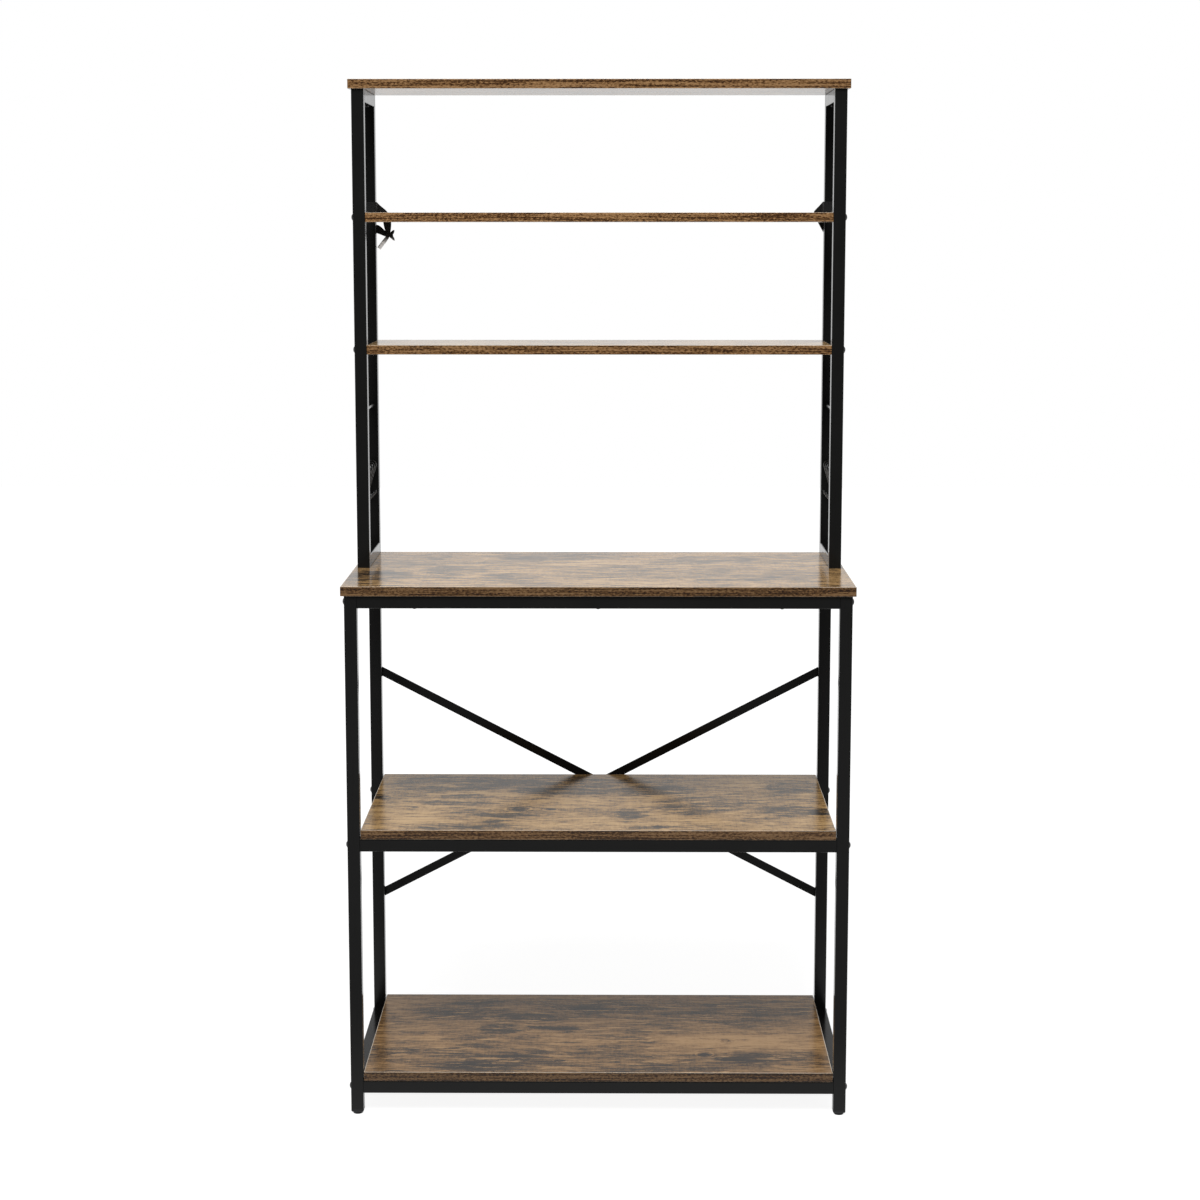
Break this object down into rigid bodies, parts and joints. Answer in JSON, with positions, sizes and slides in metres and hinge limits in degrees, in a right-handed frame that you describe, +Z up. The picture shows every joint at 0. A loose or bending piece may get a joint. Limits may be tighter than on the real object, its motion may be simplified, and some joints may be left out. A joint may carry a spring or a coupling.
{
  "type": "kitchen rack",
  "caption": "Free-standing kitchen rack: square steel-tube base with shelves and a worktop, X-braced back, and a half-depth hutch with shelves, hook rods and S hooks.",
  "frame": {"origin": "on the floor, under the middle of the worktop", "axes": "+Z up, +X to the right seen from the front, -Y out of the front"},
  "size_m": [0.8, 0.4, 1.64],
  "materials": {
    "black_tube": "satin black powder coat",
    "laminate_board": "satin rustic brown woodgrain laminate",
    "black_fastener": "black coated steel",
    "zinc_nut": "zinc plated",
    "hook_wire": "satin black coated wire",
    "foot_plastic": "black moulded plastic",
    "strap_webbing": "woven black webbing"
  },
  "bodies": {
    "frame": {"anti_tip_strap_left": "strap_webbing", "anti_tip_strap_right": "strap_webbing", "barrel_nuts": "zinc_nut", "base_post_front_left": "black_tube", "base_post_front_right": "black_tube", "base_post_rear_left": "black_tube", "base_post_rear_right": "black_tube", "base_side_rail_bottom_left": "black_tube", "base_side_rail_bottom_right": "black_tube", "base_side_rail_top_left": "black_tube", "base_side_rail_top_right": "black_tube", "board_screws": "black_fastener", "bottom_rail_front": "black_tube", "bottom_rail_rear": "black_tube", "bottom_shelf": "laminate_board", "cross_brace_bar_1": "black_tube", "cross_brace_bar_2": "black_tube", "cross_brace_bolts": "black_fastener", "cross_brace_rivet": "black_fastener", "cross_brace_spacers": "black_fastener", "foot_plugs": "foot_plastic", "hook_rod_lower_left": "black_tube", "hook_rod_lower_right": "black_tube", "hook_rod_upper_left": "black_tube", "hook_rod_upper_right": "black_tube", "hutch_bolts": "black_fastener", "hutch_bottom_rail_left": "black_tube", "hutch_bottom_rail_right": "black_tube", "hutch_post_front_left": "black_tube", "hutch_post_front_right": "black_tube", "hutch_post_rear_left": "black_tube", "hutch_post_rear_right": "black_tube", "hutch_shelf_lower": "laminate_board", "hutch_shelf_upper": "laminate_board", "hutch_top_rail_left": "black_tube", "hutch_top_rail_right": "black_tube", "mid_rail_front": "black_tube", "mid_rail_rear": "black_tube", "mid_shelf": "laminate_board", "rail_bolts": "black_fastener", "shelf_bolts": "black_fastener", "top_panel": "laminate_board", "weld_nuts": "zinc_nut", "worktop": "laminate_board", "worktop_rail_front": "black_tube", "worktop_rail_rear": "black_tube"},
    "levelling_foot_front_left": {"levelling_foot_front_left": "foot_plastic"},
    "levelling_foot_rear_left": {"levelling_foot_rear_left": "foot_plastic"},
    "levelling_foot_front_right": {"levelling_foot_front_right": "foot_plastic"},
    "levelling_foot_rear_right": {"levelling_foot_rear_right": "foot_plastic"},
    "s_hook_left_1": {"s_hook_left_1": "hook_wire"},
    "s_hook_left_2": {"s_hook_left_2": "hook_wire"},
    "s_hook_left_3": {"s_hook_left_3": "hook_wire"},
    "s_hook_left_4": {"s_hook_left_4": "hook_wire"},
    "s_hook_left_5": {"s_hook_left_5": "hook_wire"},
    "s_hook_right_1": {"s_hook_right_1": "hook_wire"},
    "s_hook_right_2": {"s_hook_right_2": "hook_wire"},
    "s_hook_right_3": {"s_hook_right_3": "hook_wire"},
    "s_hook_right_4": {"s_hook_right_4": "hook_wire"},
    "s_hook_right_5": {"s_hook_right_5": "hook_wire"}
  },
  "joints": [
    {"name": "levelling_foot_front_left_screw", "type": "slide", "parent": "frame", "child": "levelling_foot_front_left", "axis": [0, 0, -1], "range_m": [0, 0.01]},
    {"name": "levelling_foot_rear_left_screw", "type": "slide", "parent": "frame", "child": "levelling_foot_rear_left", "axis": [0, 0, -1], "range_m": [0, 0.01]},
    {"name": "levelling_foot_front_right_screw", "type": "slide", "parent": "frame", "child": "levelling_foot_front_right", "axis": [0, 0, -1], "range_m": [0, 0.01]},
    {"name": "levelling_foot_rear_right_screw", "type": "slide", "parent": "frame", "child": "levelling_foot_rear_right", "axis": [0, 0, -1], "range_m": [0, 0.01]},
    {"name": "s_hook_left_1_swing", "type": "hinge", "parent": "frame", "child": "s_hook_left_1", "pos_m": [-0.385, 0.0385, 1.01], "axis": [0, 1, 0], "range_deg": [-75, 75]},
    {"name": "s_hook_left_2_swing", "type": "hinge", "parent": "frame", "child": "s_hook_left_2", "pos_m": [-0.385, 0.0685, 1.01], "axis": [0, 1, 0], "range_deg": [-75, 75]},
    {"name": "s_hook_left_3_swing", "type": "hinge", "parent": "frame", "child": "s_hook_left_3", "pos_m": [-0.385, 0.0985, 1.01], "axis": [0, 1, 0], "range_deg": [-75, 75]},
    {"name": "s_hook_left_4_swing", "type": "hinge", "parent": "frame", "child": "s_hook_left_4", "pos_m": [-0.385, 0.1285, 1.01], "axis": [0, 1, 0], "range_deg": [-75, 75]},
    {"name": "s_hook_left_5_swing", "type": "hinge", "parent": "frame", "child": "s_hook_left_5", "pos_m": [-0.385, 0.1585, 1.01], "axis": [0, 1, 0], "range_deg": [-75, 75]},
    {"name": "s_hook_right_1_swing", "type": "hinge", "parent": "frame", "child": "s_hook_right_1", "pos_m": [0.385, 0.0385, 1.01], "axis": [0, 1, 0], "range_deg": [-75, 75]},
    {"name": "s_hook_right_2_swing", "type": "hinge", "parent": "frame", "child": "s_hook_right_2", "pos_m": [0.385, 0.0685, 1.01], "axis": [0, 1, 0], "range_deg": [-75, 75]},
    {"name": "s_hook_right_3_swing", "type": "hinge", "parent": "frame", "child": "s_hook_right_3", "pos_m": [0.385, 0.0985, 1.01], "axis": [0, 1, 0], "range_deg": [-75, 75]},
    {"name": "s_hook_right_4_swing", "type": "hinge", "parent": "frame", "child": "s_hook_right_4", "pos_m": [0.385, 0.1285, 1.01], "axis": [0, 1, 0], "range_deg": [-75, 75]},
    {"name": "s_hook_right_5_swing", "type": "hinge", "parent": "frame", "child": "s_hook_right_5", "pos_m": [0.385, 0.1585, 1.01], "axis": [0, 1, 0], "range_deg": [-75, 75]}
  ]
}
